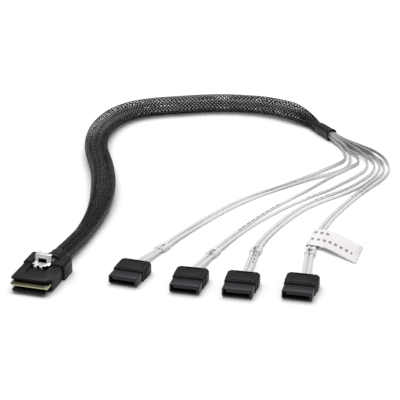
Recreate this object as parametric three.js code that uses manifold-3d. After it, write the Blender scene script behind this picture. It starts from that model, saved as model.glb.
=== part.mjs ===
// Mini SAS breakout cable: one 36-way mini SAS plug, a braided trunk and four flat
// legs that end in 7-way receptacles. Millimetres, +Z up. The cable lies on z = 0.
// The origin is on the underside of the mini SAS plug, +Y runs back into the cable.
import * as THREE from 'three';
import { mergeVertices } from 'three/addons/utils/BufferGeometryUtils.js';
import Module from 'manifold-3d';

const wasm = await Module();
wasm.setup();

// Clearances
const FIT = 0.3;              // between pieces that sit in one another
const WRAP = 0.05;            // between a shrunk tube and what it grips
const LIE = 0.05;             // under what lies on the floor

// Mini SAS plug
const SHELL_WIDTH = 18.1;
const SHELL_FRONT = -7.5;
const SHELL_BACK = 15;
const SHELL_WALL = 1.2;
const FLOOR_THICK = 1.4;
const SIDE_STEP = 1.2;        // the front's underside is cut away this far in from each side
const SIDE_STEP_HEIGHT = 0.8;
const HOOD_UNDER = 5.2;
const HOOD_THICK = 1.0;
const HOOD_FRONT = -10;
const HOOD_CORNER = [2.5, 2.7]; // cut-off front right corner, across and back
const HOOD_NICK = 0.35;       // cut-off front left corner
const REAR_START = 4.8;       // where the tall rear of the plug begins
const REAR_LEFT = -9.5;       // sides of the rear, a little wider than the front
const REAR_RIGHT = 9.8;
const REAR_TOP = 7.3;
const REAR_CORNER = 1.1;
const REAR_BEVEL = 0.7;
const GROOVE_WIDTH = 0.9;
const GROOVE_DEPTH = 0.9;
const TONGUE_INSET = 1.5;
const TONGUE_THICK = 1.0;
const TONGUE_BASE = 1.1;
const TONGUE_FRONT = -13.2;
const TONGUE_ROOT = -2;
const TONGUE_ROUND = 1.0;
const CABLE_X = 1.8;          // where the cable's middle leaves the plug
const CABLE_Z = 4.45;
const BAR_SIDES = 24;
const ARCH_WALL = 0.45;
const ARCH_BACK = 13.8;
const ARCH_START = 10.4;      // front of the arch over the cable, and back of the cavity
const CAVITY_ROOF = 4.75;
const CAVITY_TALL_ROOF = 6.6;
const CAVITY_INSET = 1.65;

// Paddle card with its contact pads
const CARD_BASE = 3.3;
const CARD_THICK = 1.0;
const CARD_FRONT = -12.4;
const CARD_BACK = 0.5;
const CARD_INSET = 0.5;
const TAIL_PLAY = 0.35;       // beside the card between the shell's walls
const CARD_CORNER = 0.7;
const CARD_BEVEL = 0.25;
const PAD_COUNT = 18;
const PAD_PITCH = 0.8;
const PAD_WIDTH = 0.5;
const PAD_LENGTH = 3.4;
const PAD_THICK = 0.06;
const PAD_START = 0.5;        // back from the card's front edge

// Latch, folded from one strip of spring steel
const LATCH_X = -0.9;
const LATCH_SHEET = 0.3;
const STRIP_WIDTH = 5.4;
const STRIP_FRONT = -6;
const STRIP_BACK = 2.5;
const STRIP_LIFT = 0.45;      // above the card, so that it can be pressed down
const TAB_WIDTH = 5.4;
const TAB_FRONT = 2.9;
const LEDGE_WIDTH = 8;
const LEDGE_Z = 6.4;
const LEDGE_FRONT = 3.9;
const LEDGE_BACK = 6.5;
const RISER_WIDTH = 7.4;
const RISER_TOP = 10;
const RISER_LEAN = 0.9;
const LIP_DEPTH = 1.4;
const EAR_WIDTH = 1.1;
const EAR_HEIGHT = 0.8;
const EAR_IN = 0.9;           // from the riser's left edge
const WINDOW_WIDTH = 4;
const WINDOW_HEIGHT = 2.3;
const WINDOW_BASE = -0.4;     // from the ledge, so that it cuts the fold
const WINDOW_SHIFT = -0.25;
const HOOK_WIDTH = 1.3;
const HOOK_FRONT = 1.4;
const HOOK_TOP = 6.85;
const HOOKS_X = [-1.8, 0.9];  // from the latch's middle line
const POCKET_WIDTH = 8.4;
const POCKET_FRONT = -4.8;
const POCKET_ROUND = 2.2;
const POCKET_DEPTH = 0.7;
const POCKET_FLOOR_BACK = 1.9; // behind this the pocket is open to the latch
const CHANNEL_WIDTH = 9.2;
const CHANNEL_FLOOR = 5.35;
const CHANNEL_BACK = 9.6;

// Ribbons: flat twin-axial pairs, two for each leg
const RIBBON_WIDTH = 1.8;
const RIBBON_THICK = 0.75;
const RIBBON_CHAMFER = 0.22;
const RIBBON_GAP = 0.08;      // between stacked faces
const ROW_GAP = 0.1;          // between stacked edges
const SPREAD_FACES = 1.25;    // extra pitch in the slack middle of the sleeve
const SPREAD_EDGES = 0.5;
const LEG_STEP = 7.5;
const STAND_FOR = 45;         // past the sleeve the ribbons stand on edge this far
const FLAT_FROM = 105;

// Braided sleeve and the shrunk tubes at its ends
const SLEEVE_WALL = 0.3;
const TRUNK_STEPS = 40;
const TUBE_SIDES = 12;
const BAND_WALL = 0.3;
const BAND_PLAY = 0.15;       // round the sleeve where it goes through the plug's rear
const BAND_LENGTH = 8.5;
const TAIL_START_STEP = 38;   // trunk step at which the rear shrink tube starts
const MOUTH_FLARE = 0.35;

// Receptacles on the legs
const NOSE_WIDTH = 13.2;
const NOSE_HEIGHT = 3.7;
const NOSE_LENGTH = 6.5;
const NOSE_ROUND = 0.45;
const TAIL_WIDTH = 12;
const TAIL_HEIGHT = 2.9;
const TAIL_LENGTH = 3.7;
const SLOT_LEFT = -5.9;
const SLOT_WIDTH = 11.3;
const SLOT_BASE = 1.1;
const SLOT_HEIGHT = 1.7;
const KEY_WIDTH = 1.2;
const KEY_HEIGHT = 1.05;
const KEY_DEPTH = 6;
const OVER_WIDTH = 14.6;
const OVER_LENGTH = 10.6;
const OVER_HEIGHT = 4.9;
const OVER_ROUND = 0.8;
const OVER_STEP = 0.4;        // the front of the overmould is this much narrower a side
const OVER_STEP_Y = 10.2;
const OVER_CORNER = 1.6;
const SIDE_GROOVE = 0.7;
const SIDE_GROOVE_Y = 7.9;
const PANEL_WIDTH = 9.6;
const PANEL_HEIGHT = 0.25;
const PANEL_FRONT = 7.9;
const PANEL_BACK = 15.3;
const RIB_WIDTH = 7;
const RIB_LENGTH = 0.8;
const RIB_HEIGHT = 0.4;
const RIB_BACK = 16.9;
const SOCKET_PITCH = 2.1;
const SOCKET_DEPTH = 3;
const SOCKET_Z = 2.45;
const CONTACTS = 7;
const CONTACT_PITCH = 1.27;
const CONTACT_WIDTH = 0.5;
const CONTACT_THICK = 0.3;
const CONTACT_FRONT = 1.2;
const CARRIER_LENGTH = 3.3;

// Labels
const LABEL_WALL = 0.25;
const LABEL_LENGTH = 6.5;
const FLAG_LENGTH = 18.2;
const FLAG_START = 67.5;      // y of the flag label's near edge
const FLAG_PLY = 0.25;
const FLAG_SLANT = 0.565;     // the tail runs off at this slant towards the plugs
const FLAG_ROOT = [103.7, 110.2]; // inside of the loop round leg 4, in x
const FLAG_TAIL = [           // middle line of the tail, x and height
  [112, 2], [115.5, 2], [119, 1.7], [122.5, 1.2], [125.6, 0.8], [128.6, 0.5],
];

// Where each receptacle lies: the middle of its front edge, its turn in degrees, and how
// far behind it the middle of its number label is
const PLUGS = [
  { x: 35.9, y: 6.8, turn: -2.4, label: 23.6 },
  { x: 63.8, y: 6.8, turn: 3.1, label: 24.6 },
  { x: 86.5, y: 9.3, turn: 4.1, label: 30.4 },
  { x: 111.4, y: 14.5, turn: 2.6, label: 30.6 },
];

// The trunk's middle line on the floor, from inside the plug to the end of the sleeve
const TRUNK = [
  [1.8, 10.7], [1.8, 13], [1.8, 16], [1.8, 19.6], [1.9, 24], [2.2, 30], [2.3, 37], [2.3, 46],
  [1.8, 55.4], [0.9, 65], [-0.5, 74.5], [-2.6, 84.2], [-5.3, 94], [-8.6, 104], [-12.5, 114],
  [-17, 124.2], [-22.2, 134.6], [-27.5, 145.2], [-32, 156.6], [-35.3, 168.6], [-37, 181.4],
  [-36.8, 193.6], [-34.8, 203.2], [-31.2, 210.8], [-26.2, 216.9], [-19.8, 221.9],
  [-12.4, 226.2], [-4.5, 230.3], [3.5, 234.4], [11.8, 237.9], [20.4, 240.3], [29.2, 241.3],
  [38.2, 240.6], [47.6, 237.6], [56.8, 233.4], [64.4, 229.3], [70.8, 224.8], [76, 220.4],
  [81.4, 214.8], [86.6, 208.9],
];

// Half width, half height and squareness of the sleeve at distances along the trunk
const GIRTH = [
  [0, 3.7, 3.2, 2.1], [30, 3.9, 3.4, 2.1], [95, 6.2, 5.1, 2.2], [250, 6.1, 5.0, 2.2],
  [285, 5.2, 4.3, 2.2], [318, 2.35, 2.5, 4], [400, 2.35, 2.5, 4],
];

// Each ribbon past the sleeve: x, y and how high its lower edge is lifted off the floor
const LEGS = [
  { a: [[90.6, 201.9, 1.03], [94.9, 195.3, 0.77], [97.8, 188, 0.5], [99.4, 182.2, 0.2],
      [98.9, 178.1, 0.05], [96.7, 172.1, 0.05], [92.7, 164.6, 0.05], [87.7, 154.9, 0.05],
      [81.8, 145.8, 0.05], [75.6, 136.9, 0.05], [69.4, 128.3, 0.05], [63.4, 119, 0.05],
      [58, 108.2, 0.05], [53.2, 96.2, 0.05], [49, 83.9, 0.1], [45.4, 71.3, 0.3],
      [42.5, 59.1, 0.75], [40.2, 48.9, 0.8], [37.7, 38.6, 1.2]],
    b: [[90.9, 202.1, 3], [95.7, 195.9, 2.8], [99.4, 189, 2.6], [101.9, 182.8, 1.6],
      [103, 176.2, 0.7], [102.5, 169.9, 0.1], [99.7, 163.3, 0.05], [94.2, 156.3, 0.05],
      [87.5, 148.4, 0.05], [80.6, 139.1, 0.05], [73.8, 129.5, 0.05], [67.4, 119.3, 0.05],
      [61.6, 108.1, 0.05], [56.4, 96, 0.05], [52, 83.4, 0.1], [48.1, 71.2, 0.3],
      [44.8, 59.2, 0.75], [42.5, 49, 0.8], [40, 39, 1.2]] },
  { a: [[91.3, 202.9, 1.1], [96.2, 197.1, 0.9], [101, 191.2, 0.7], [104.8, 186.4, 0.4],
      [106.9, 180.6, 0.2], [106.8, 176.5, 0.1], [105, 171.8, 0.05], [102.2, 165.5, 0.05],
      [98.7, 158.3, 0.05], [95.3, 149.8, 0.05], [91.7, 140.7, 0.05], [88, 131.3, 0.05],
      [84.1, 122, 0.05], [80.1, 112.1, 0.05], [76.3, 101.3, 0.05], [72.7, 89.9, 0.05],
      [69.6, 78.5, 0.1], [66.9, 67.1, 0.3], [65.1, 56.5, 0.75], [63.5, 47.9, 0.8],
      [62.2, 38.8, 1.2]],
    b: [[91.4, 203, 3.07], [96.7, 197.5, 2.93], [102.2, 192.2, 2.8], [107.2, 187.6, 1.9],
      [110.8, 181.6, 0.9], [112.4, 175, 0.2], [112.3, 168.1, 0.05], [110.5, 161.9, 0.05],
      [107.7, 154.9, 0.05], [103.9, 146.7, 0.05], [99.4, 137.5, 0.05], [94.4, 129.2, 0.05],
      [89.4, 120.2, 0.05], [84.5, 110.9, 0.05], [80, 100.6, 0.05], [75.9, 90, 0.05],
      [72.4, 79.4, 0.1], [69.5, 68, 0.3], [67.4, 57.2, 0.75], [65.8, 48.2, 0.8],
      [64.6, 39.4, 1.2]] },
  { a: [[92.1, 203.5, 1.13], [97.6, 198.1, 0.97], [103.4, 193.2, 0.8], [108.6, 189.2, 0.5],
      [112.9, 184, 0.3], [115.6, 177.8, 0.15], [116.7, 171.2, 0.1], [116.2, 164.4, 0.05],
      [114.2, 156.8, 0.05], [111, 148.6, 0.05], [106.9, 140.6, 0.05], [102.2, 132.9, 0.05],
      [97.5, 125.4, 0.05], [93.1, 117.5, 0.05], [89.5, 108.3, 0.05], [86.6, 98, 0.05],
      [84.4, 87.4, 0.1], [82.7, 76.8, 0.3], [81.7, 67.4, 0.5], [81.4, 58.8, 0.8],
      [81.8, 50.6, 0.8], [82.6, 43.1, 1.4]],
    b: [[92.2, 203.6, 3.13], [97.9, 198.6, 3.07], [104.2, 194.2, 3], [110.2, 190.6, 2.3],
      [115, 185.4, 1.3], [118, 179.2, 0.5], [119.2, 172.4, 0.1], [119.1, 165.2, 0.05],
      [117.9, 157.8, 0.05], [115.6, 150, 0.05], [112.1, 142.2, 0.05], [107.7, 134.6, 0.05],
      [103, 127.2, 0.05], [98.3, 119.8, 0.05], [94.1, 111.4, 0.05], [90.7, 102, 0.05],
      [87.9, 91.6, 0.1], [85.5, 80.6, 0.3], [84, 69.7, 0.5], [83.7, 60.2, 0.8],
      [84.1, 51.5, 0.9], [84.9, 43.8, 1.4]] },
  { a: [[93.2, 204, 1.13], [99.4, 198.8, 0.97], [106, 194.2, 0.8], [112.2, 190.2, 0.5],
      [117.2, 184.6, 0.3], [120.4, 178, 0.15], [121.8, 171, 0.1], [121.5, 163.6, 0.05],
      [119, 155, 0.05], [116.1, 145.7, 0.05], [113.8, 136.1, 0.05], [111.3, 126.2, 0.05],
      [109, 116, 0.05], [107.1, 105.9, 0.05], [105.9, 95.8, 0.1], [105.2, 86.1, 0.4],
      [105, 76.5, 0.8], [105.3, 66.9, 0.8], [106.1, 58, 0.8], [107.3, 49.4, 1.1]],
    b: [[93.3, 204.1, 3.07], [99.8, 199.3, 2.93], [106.8, 195.2, 2.8], [113.6, 191.6, 2.1],
      [119.2, 186.2, 1.2], [122.8, 179.4, 0.5], [124.3, 172.2, 0.1], [124.2, 164.8, 0.05],
      [122.5, 156.5, 0.05], [119.3, 147, 0.05], [116.2, 137, 0.05], [113.6, 126.8, 0.05],
      [111.4, 116.3, 0.05], [109.3, 106, 0.05], [108.1, 95.7, 0.1], [107.4, 85.8, 0.4],
      [107.2, 76.1, 0.8], [107.5, 66.7, 0.8], [108.3, 57.8, 0.8], [109.6, 49.3, 1.1]] },
];

// Finishes
const finish = (color, roughness, metalness = 0) =>
  new THREE.MeshStandardMaterial({ color, roughness, metalness });
const BLACK_SHELL = finish(0x24242a, 0.5);
const BLACK_OVERMOULD = finish(0x2b2b31, 0.6);
const CONTACT_METAL = finish(0xc8a24a, 0.3, 1);
const CARD_GREEN = finish(0x7d8a3c, 0.5);
const POTTING = finish(0x2a2620, 0.7);
const SPRING_STEEL = finish(0xd8d8d4, 0.25, 1);
const BRAID = finish(0x1b1b1d, 0.7);
const SHRINK = finish(0x17171a, 0.45);
const RIBBON_FILM = finish(0xd9d9dc, 0.35);
const LABEL_FILM = finish(0xf4f4f2, 0.5);

const cable = new THREE.Group();

function addPiece(name, geometry, material, parent = cable) {
  const mesh = new THREE.Mesh(geometry, material);
  mesh.name = name;
  parent.add(mesh);
  return mesh;
}

// Booleans

function toSolid(geometry) {
  const bare = geometry.clone();
  bare.deleteAttribute('normal');
  bare.deleteAttribute('uv');
  const welded = mergeVertices(bare, 1e-5);
  return new wasm.Manifold(new wasm.Mesh({
    numProp: 3,
    vertProperties: new Float32Array(welded.attributes.position.array),
    triVerts: new Uint32Array(welded.index.array),
  }));
}

function toGeometry(solid) {
  const mesh = solid.getMesh();
  const geometry = new THREE.BufferGeometry();
  geometry.setAttribute('position', new THREE.BufferAttribute(mesh.vertProperties, 3));
  geometry.setIndex(new THREE.BufferAttribute(mesh.triVerts, 1));
  geometry.computeVertexNormals();
  return geometry;
}

const join = (...parts) => parts.reduce((whole, part) => whole.add(part));
const cut = (body, ...tools) => tools.reduce((left, tool) => left.subtract(tool), body);

// Plain forms as solids

function block(x0, x1, y0, y1, z0, z1) {
  const box = new THREE.BoxGeometry(x1 - x0, y1 - y0, z1 - z0);
  return toSolid(box.translate((x0 + x1) / 2, (y0 + y1) / 2, (z0 + z1) / 2));
}

function outline(points) {
  return new THREE.Shape(points.map(([x, y]) => new THREE.Vector2(x, y)));
}

// A plan outline in x and y, raised from z0 to z1
function plate(points, z0, z1) {
  const geometry = new THREE.ExtrudeGeometry(outline(points), {
    depth: z1 - z0, bevelEnabled: false,
  });
  return toSolid(geometry.translate(0, 0, z0));
}

// A side outline in y and z, run from x0 to x1
function sideProfile(points, x0, x1) {
  const geometry = new THREE.ExtrudeGeometry(outline(points), {
    depth: x1 - x0, bevelEnabled: false,
  });
  const turn = new THREE.Matrix4().makeBasis(
    new THREE.Vector3(0, 1, 0), new THREE.Vector3(0, 0, 1), new THREE.Vector3(1, 0, 0));
  return toSolid(geometry.applyMatrix4(turn).translate(x0, 0, 0));
}

// A front outline in x and z, run from y0 to y1
function frontProfile(shape, y0, y1) {
  const geometry = new THREE.ExtrudeGeometry(shape, {
    depth: y1 - y0, bevelEnabled: false, curveSegments: 3,
  });
  const turn = new THREE.Matrix4().makeBasis(
    new THREE.Vector3(1, 0, 0), new THREE.Vector3(0, 0, 1), new THREE.Vector3(0, -1, 0));
  return toSolid(geometry.applyMatrix4(turn).translate(0, y1, 0));
}

function roundedRectangle(x0, x1, z0, z1, radius) {
  const shape = new THREE.Shape();
  shape.moveTo(x0 + radius, z0);
  shape.lineTo(x1 - radius, z0);
  shape.absarc(x1 - radius, z0 + radius, radius, -Math.PI / 2, 0);
  shape.lineTo(x1, z1 - radius);
  shape.absarc(x1 - radius, z1 - radius, radius, 0, Math.PI / 2);
  shape.lineTo(x0 + radius, z1);
  shape.absarc(x0 + radius, z1 - radius, radius, Math.PI / 2, Math.PI);
  shape.lineTo(x0, z0 + radius);
  shape.absarc(x0 + radius, z0 + radius, radius, Math.PI, 1.5 * Math.PI);
  return shape;
}

// An oval bar along the cable's line through the rear of the plug, larger than the sleeve
// by a margin
function cableBar(margin, y0, y1) {
  const bar = new THREE.CylinderGeometry(1, 1, y1 - y0, BAR_SIDES);
  bar.rotateY(Math.PI / BAR_SIDES).scale(GIRTH[0][1] + margin, 1, GIRTH[0][2] + margin);
  return toSolid(bar.translate(CABLE_X, (y0 + y1) / 2, CABLE_Z));
}

// Trunk: stations along its middle line, each with its own axes and girth

const smooth = (t) => t * t * (3 - 2 * t);

function between(stops, at, column) {
  let index = 1;
  while (index < stops.length - 1 && stops[index][0] < at) index += 1;
  const [low, high] = [stops[index - 1], stops[index]];
  const share = Math.min(Math.max((at - low[0]) / (high[0] - low[0]), 0), 1);
  return THREE.MathUtils.lerp(low[column], high[column], smooth(share));
}

function axesFor(tangent) {
  const left = new THREE.Vector3(-tangent.y, tangent.x, 0).normalize();
  return { left, up: new THREE.Vector3().crossVectors(tangent, left).normalize() };
}

const trunkPlan = new THREE.CatmullRomCurve3(
  TRUNK.map(([x, y]) => new THREE.Vector3(x, y, 0)), false, 'centripetal');
trunkPlan.arcLengthDivisions = 1200;
const TRUNK_LENGTH = trunkPlan.getLength();
const PLUG_LIFT = CABLE_Z - GIRTH[0][2];
const LIFT_STOPS = [[0, PLUG_LIFT], [5, PLUG_LIFT], [38, LIE], [1000, LIE]];
const MOUTH_LIFT = 0.75;      // the shrink tube's wall and flare clear the floor
const TURN_LENGTH = 285;      // the stack of ribbons makes half a turn in this length

function trunkStation(step) {
  const share = step / TRUNK_STEPS;
  const along = share * TRUNK_LENGTH;
  const halfWidth = between(GIRTH, along, 1);
  const halfHeight = between(GIRTH, along, 2);
  const raise = MOUTH_LIFT * smooth(THREE.MathUtils.clamp((share - 0.75) / 0.15, 0, 1));
  const point = trunkPlan.getPointAt(share);
  point.z = halfHeight + between(LIFT_STOPS, along, 1) + raise;
  const { left, up } = axesFor(trunkPlan.getTangentAt(share));
  const slack = Math.sin(Math.PI * smooth(Math.min(1, Math.max(0, (along - 20) / 285))));
  return {
    point, left, up, halfWidth, halfHeight,
    squareness: between(GIRTH, along, 3), slack,
    turn: Math.PI * smooth(Math.min(1, along / TURN_LENGTH)),
  };
}

const stations = Array.from({ length: TRUNK_STEPS + 1 }, (_, step) => trunkStation(step));

// A point of the sleeve's section: an ellipse that gets squarer where it is gripped
function sectionPoint(station, angle, grow) {
  const power = 2 / station.squareness;
  const [c, s] = [Math.cos(angle), Math.sin(angle)];
  const across = Math.sign(c) * Math.abs(c) ** power * (station.halfWidth + grow);
  const high = Math.sign(s) * Math.abs(s) ** power * (station.halfHeight + grow);
  return station.point.clone()
    .addScaledVector(station.left, across).addScaledVector(station.up, high);
}

// A tube that follows the trunk: outer and inner are added to the sleeve's half sizes
function trunkTube(first, last, outer, inner) {
  const ring = (radius) => Array.from({ length: TUBE_SIDES }, (_, side) => {
    const angle = (side + 0.5) * 2 * Math.PI / TUBE_SIDES;
    return new THREE.Vector2(radius * Math.cos(angle), radius * Math.sin(angle));
  });
  const shape = new THREE.Shape(ring(1));
  shape.holes.push(new THREE.Path(ring(0.5)));
  const steps = last - first;
  const geometry = new THREE.ExtrudeGeometry(shape, { depth: 1, steps, bevelEnabled: false });
  const spots = geometry.attributes.position;
  for (let i = 0; i < spots.count; i += 1) {
    const [x, y] = [spots.getX(i), spots.getY(i)];
    const step = Math.round(spots.getZ(i) * steps);
    const grow = Math.hypot(x, y) > 0.75 ? outer(step / steps) : inner(step / steps);
    const spot = sectionPoint(stations[first + step], Math.atan2(y, x), grow);
    spots.setXYZ(i, spot.x, spot.y, spot.z);
  }
  return mergeVertices(stripped(geometry), 1e-5);
}

function stripped(geometry) {
  geometry.deleteAttribute('normal');
  geometry.deleteAttribute('uv');
  return geometry;
}

// Ribbons

// Lowest reach of a ribbon below its middle when it is rolled by an angle
function halfReach(roll) {
  return Math.abs(Math.cos(roll)) * RIBBON_THICK / 2 + Math.abs(Math.sin(roll)) * RIBBON_WIDTH / 2;
}

// The ribbons leave the sleeve on edge and lie down flat further on
function legRoll(distance) {
  const share = THREE.MathUtils.clamp((distance - STAND_FOR) / (FLAT_FROM - STAND_FOR), 0, 1);
  return 1.5 * Math.PI - smooth(share) * Math.PI / 2;
}

function trunkRings(layer, row) {
  return stations.map((station) => {
    const pitch = RIBBON_THICK + RIBBON_GAP + SPREAD_FACES * station.slack;
    const rise = RIBBON_WIDTH + ROW_GAP + SPREAD_EDGES * station.slack;
    const flip = station.turn - Math.PI;
    const [u, v] = [(layer - 1.5) * pitch, (row - 0.5) * rise];
    const across = u * Math.cos(flip) - v * Math.sin(flip);
    const high = u * Math.sin(flip) + v * Math.cos(flip);
    return {
      point: station.point.clone()
        .addScaledVector(station.left, across).addScaledVector(station.up, high),
      left: station.left, up: station.up, roll: station.turn + Math.PI / 2,
    };
  });
}

// Where a ribbon goes into its receptacle: behind it, at its back and inside it
function plugPoints(plug, side) {
  const turn = THREE.MathUtils.degToRad(plug.turn);
  const back = NOSE_LENGTH + FIT + OVER_LENGTH;
  return [back + 4.5, back, back - SOCKET_DEPTH + FIT].map((y) => {
    const x = side * SOCKET_PITCH / 2;
    return new THREE.Vector3(
      plug.x + x * Math.cos(turn) - y * Math.sin(turn),
      plug.y + x * Math.sin(turn) + y * Math.cos(turn), SOCKET_Z);
  });
}

function legCurve(start, list, plug, side) {
  const points = start.map((ring) => ring.point.clone());
  let distance = 0;
  let [lastX, lastY] = [points.at(-1).x, points.at(-1).y];
  for (const [x, y, lift] of list) {
    distance += Math.hypot(x - lastX, y - lastY);
    [lastX, lastY] = [x, y];
    points.push(new THREE.Vector3(x, y, lift + halfReach(legRoll(distance))));
  }
  points.push(...plugPoints(plug, side));
  return new THREE.CatmullRomCurve3(points, false, 'centripetal');
}

function legRings(curve) {
  const rings = [];
  const spans = curve.points.length - 1;
  let distance = 0;
  let last = curve.points[1];
  for (let span = 1; span < spans; span += 1) {
    const length = curve.points[span].distanceTo(curve.points[span + 1]);
    const pieces = Math.max(1, Math.round(length / LEG_STEP));
    for (let piece = 1; piece <= pieces; piece += 1) {
      const t = (span + piece / pieces) / spans;
      const point = curve.getPoint(t);
      distance += point.distanceTo(last);
      last = point;
      const { left, up } = axesFor(curve.getTangent(t));
      rings.push({ point, left, up, roll: legRoll(distance) });
    }
  }
  return rings;
}

function ribbonRings(layer, row, list, plug, side) {
  const inside = trunkRings(layer, row);
  return [...inside, ...legRings(legCurve(inside.slice(-2), list, plug, side))];
}

function ribbonGeometry(rings) {
  const [w, t, c] = [RIBBON_WIDTH / 2, RIBBON_THICK / 2, RIBBON_CHAMFER];
  const section = outline([
    [w - c, -t], [w, c - t], [w, t - c], [w - c, t],
    [c - w, t], [-w, t - c], [-w, c - t], [c - w, -t],
  ]);
  const steps = rings.length - 1;
  const geometry = new THREE.ExtrudeGeometry(section, { depth: 1, steps, bevelEnabled: false });
  const spots = geometry.attributes.position;
  for (let i = 0; i < spots.count; i += 1) {
    const ring = rings[Math.round(spots.getZ(i) * steps)];
    const [x, y] = [spots.getX(i), spots.getY(i)];
    const across = x * Math.cos(ring.roll) - y * Math.sin(ring.roll);
    const high = x * Math.sin(ring.roll) + y * Math.cos(ring.roll);
    const spot = ring.point.clone()
      .addScaledVector(ring.left, across).addScaledVector(ring.up, high);
    spots.setXYZ(i, spot.x, spot.y, spot.z);
  }
  return mergeVertices(stripped(geometry), 1e-5);
}

// Mini SAS plug

const HALF = SHELL_WIDTH / 2;
const CAVITY_HALF = HALF - CAVITY_INSET;
const HOOD_TOP = HOOD_UNDER + HOOD_THICK;
const BORE = BAND_PLAY + BAND_WALL + FIT;

function grooves(top) {
  const y0 = REAR_START - GROOVE_WIDTH;
  const depth = HALF - GROOVE_DEPTH;
  return join(
    block(depth, REAR_RIGHT, y0, REAR_START, -1, top),
    block(REAR_LEFT, -depth, y0, REAR_START, -1, top));
}

function rearPlan(z0, z1) {
  return plate([
    [REAR_LEFT, REAR_START], [REAR_RIGHT, REAR_START],
    [REAR_RIGHT, SHELL_BACK - REAR_CORNER], [REAR_RIGHT - REAR_CORNER, SHELL_BACK],
    [REAR_LEFT + REAR_CORNER, SHELL_BACK], [REAR_LEFT, SHELL_BACK - REAR_CORNER],
  ], z0, z1);
}

function lowerShell() {
  const front = block(-HALF, HALF, SHELL_FRONT, REAR_START + 1, 0, HOOD_UNDER);
  const inner = HALF - SHELL_WALL;
  const channel = block(-inner, inner, SHELL_FRONT - 1, CARD_BACK, FLOOR_THICK, HOOD_UNDER + 1);
  const cavity = block(
    -CAVITY_HALF, CAVITY_HALF, CARD_BACK - 1, ARCH_START, FLOOR_THICK, HOOD_UNDER + 1);
  const aboveSeam = block(
    REAR_LEFT - 1, REAR_RIGHT + 1, REAR_START, SHELL_BACK + 1, CABLE_Z, HOOD_UNDER + 1);
  const sideSteps = [-1, 1].map((side) => {
    const edges = [side * (HALF - SIDE_STEP), side * (HALF + 1)].sort((p, q) => p - q);
    return block(...edges, SHELL_FRONT - 1, REAR_START, -1, SIDE_STEP_HEIGHT);
  });
  const w = HALF - TONGUE_INSET;
  const tongue = plate([
    [-w, TONGUE_FRONT + TONGUE_ROUND], [TONGUE_ROUND / 4 - w, TONGUE_FRONT + TONGUE_ROUND / 3],
    [TONGUE_ROUND - w, TONGUE_FRONT], [w - TONGUE_ROUND, TONGUE_FRONT],
    [w - TONGUE_ROUND / 4, TONGUE_FRONT + TONGUE_ROUND / 3], [w, TONGUE_FRONT + TONGUE_ROUND],
    [w, TONGUE_ROOT], [-w, TONGUE_ROOT],
  ], TONGUE_BASE, TONGUE_BASE + TONGUE_THICK);
  const shell = cut(join(front, rearPlan(0, CABLE_Z)), channel, cavity, aboveSeam,
    ...sideSteps, grooves(HOOD_UNDER + 1), cableBar(BORE, ARCH_START - 1, SHELL_BACK + 1));
  return toGeometry(join(shell, tongue));
}

// Plan of the pocket round the latch, from its rounded front to a given back
function pocketPlan(front, back, z0, z1) {
  const half = POCKET_WIDTH / 2;
  const bend = POCKET_ROUND * 0.3;
  const [left, right] = [LATCH_X - half, LATCH_X + half];
  const points = front === POCKET_FRONT ? [
    [left + POCKET_ROUND, front], [right - POCKET_ROUND, front],
    [right - bend, front + bend], [right, front + POCKET_ROUND], [right, back],
    [left, back], [left, front + POCKET_ROUND], [left + bend, front + bend],
  ] : [[left, front], [right, front], [right, back], [left, back]];
  return plate(points, z0, z1);
}

function upperShell() {
  const [across, back] = HOOD_CORNER;
  const hood = plate([
    [HOOD_NICK - HALF, HOOD_FRONT], [HALF - across, HOOD_FRONT], [HALF, HOOD_FRONT + back],
    [HALF, REAR_START + 1], [-HALF, REAR_START + 1], [-HALF, HOOD_FRONT + HOOD_NICK],
  ], HOOD_UNDER, HOOD_TOP);
  const rearEnd = sideProfile([
    [REAR_START, CABLE_Z], [SHELL_BACK, CABLE_Z], [SHELL_BACK, REAR_TOP - REAR_BEVEL],
    [SHELL_BACK - REAR_BEVEL, REAR_TOP], [REAR_START + REAR_BEVEL, REAR_TOP],
    [REAR_START, REAR_TOP - REAR_BEVEL],
  ], REAR_LEFT, REAR_RIGHT);
  const rearFace = frontProfile(outline([
    [REAR_LEFT, CABLE_Z], [REAR_RIGHT, CABLE_Z], [REAR_RIGHT, REAR_TOP - REAR_BEVEL],
    [REAR_RIGHT - REAR_BEVEL, REAR_TOP], [REAR_LEFT + REAR_BEVEL, REAR_TOP],
    [REAR_LEFT, REAR_TOP - REAR_BEVEL],
  ]), REAR_START, SHELL_BACK);
  const rear = rearPlan(CABLE_Z, REAR_TOP).intersect(rearEnd).intersect(rearFace);
  const archBar = cableBar(BORE + ARCH_WALL, ARCH_START, ARCH_BACK);
  const arch = archBar.intersect(
    block(-HALF, HALF, ARCH_START - 1, SHELL_BACK + 1, CABLE_Z, REAR_TOP * 2));
  const pocket = pocketPlan(
    POCKET_FRONT, POCKET_FLOOR_BACK + 1, HOOD_TOP - POCKET_DEPTH, HOOD_TOP + 1);
  const opening = pocketPlan(
    POCKET_FLOOR_BACK, REAR_START, HOOD_UNDER - 1, HOOD_TOP + 1);
  const channelHalf = CHANNEL_WIDTH / 2;
  const channel = block(LATCH_X - channelHalf, LATCH_X + channelHalf,
    REAR_START - 1, CHANNEL_BACK, CHANNEL_FLOOR, REAR_TOP + 1);
  const cavity = block(
    -CAVITY_HALF, CAVITY_HALF, CARD_BACK - 1, ARCH_START, CABLE_Z - 1, CAVITY_ROOF);
  const tallCavity = block(
    -CAVITY_HALF, CAVITY_HALF, CHANNEL_BACK + HOOD_THICK / 2, ARCH_START,
    CABLE_Z - 1, CAVITY_TALL_ROOF);
  const shell = cut(join(hood, rear, arch), pocket, opening, channel, cavity, tallCavity,
    grooves(REAR_TOP + 1), cableBar(BORE, ARCH_START - 1, SHELL_BACK + 1));
  return toGeometry(shell);
}

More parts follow.
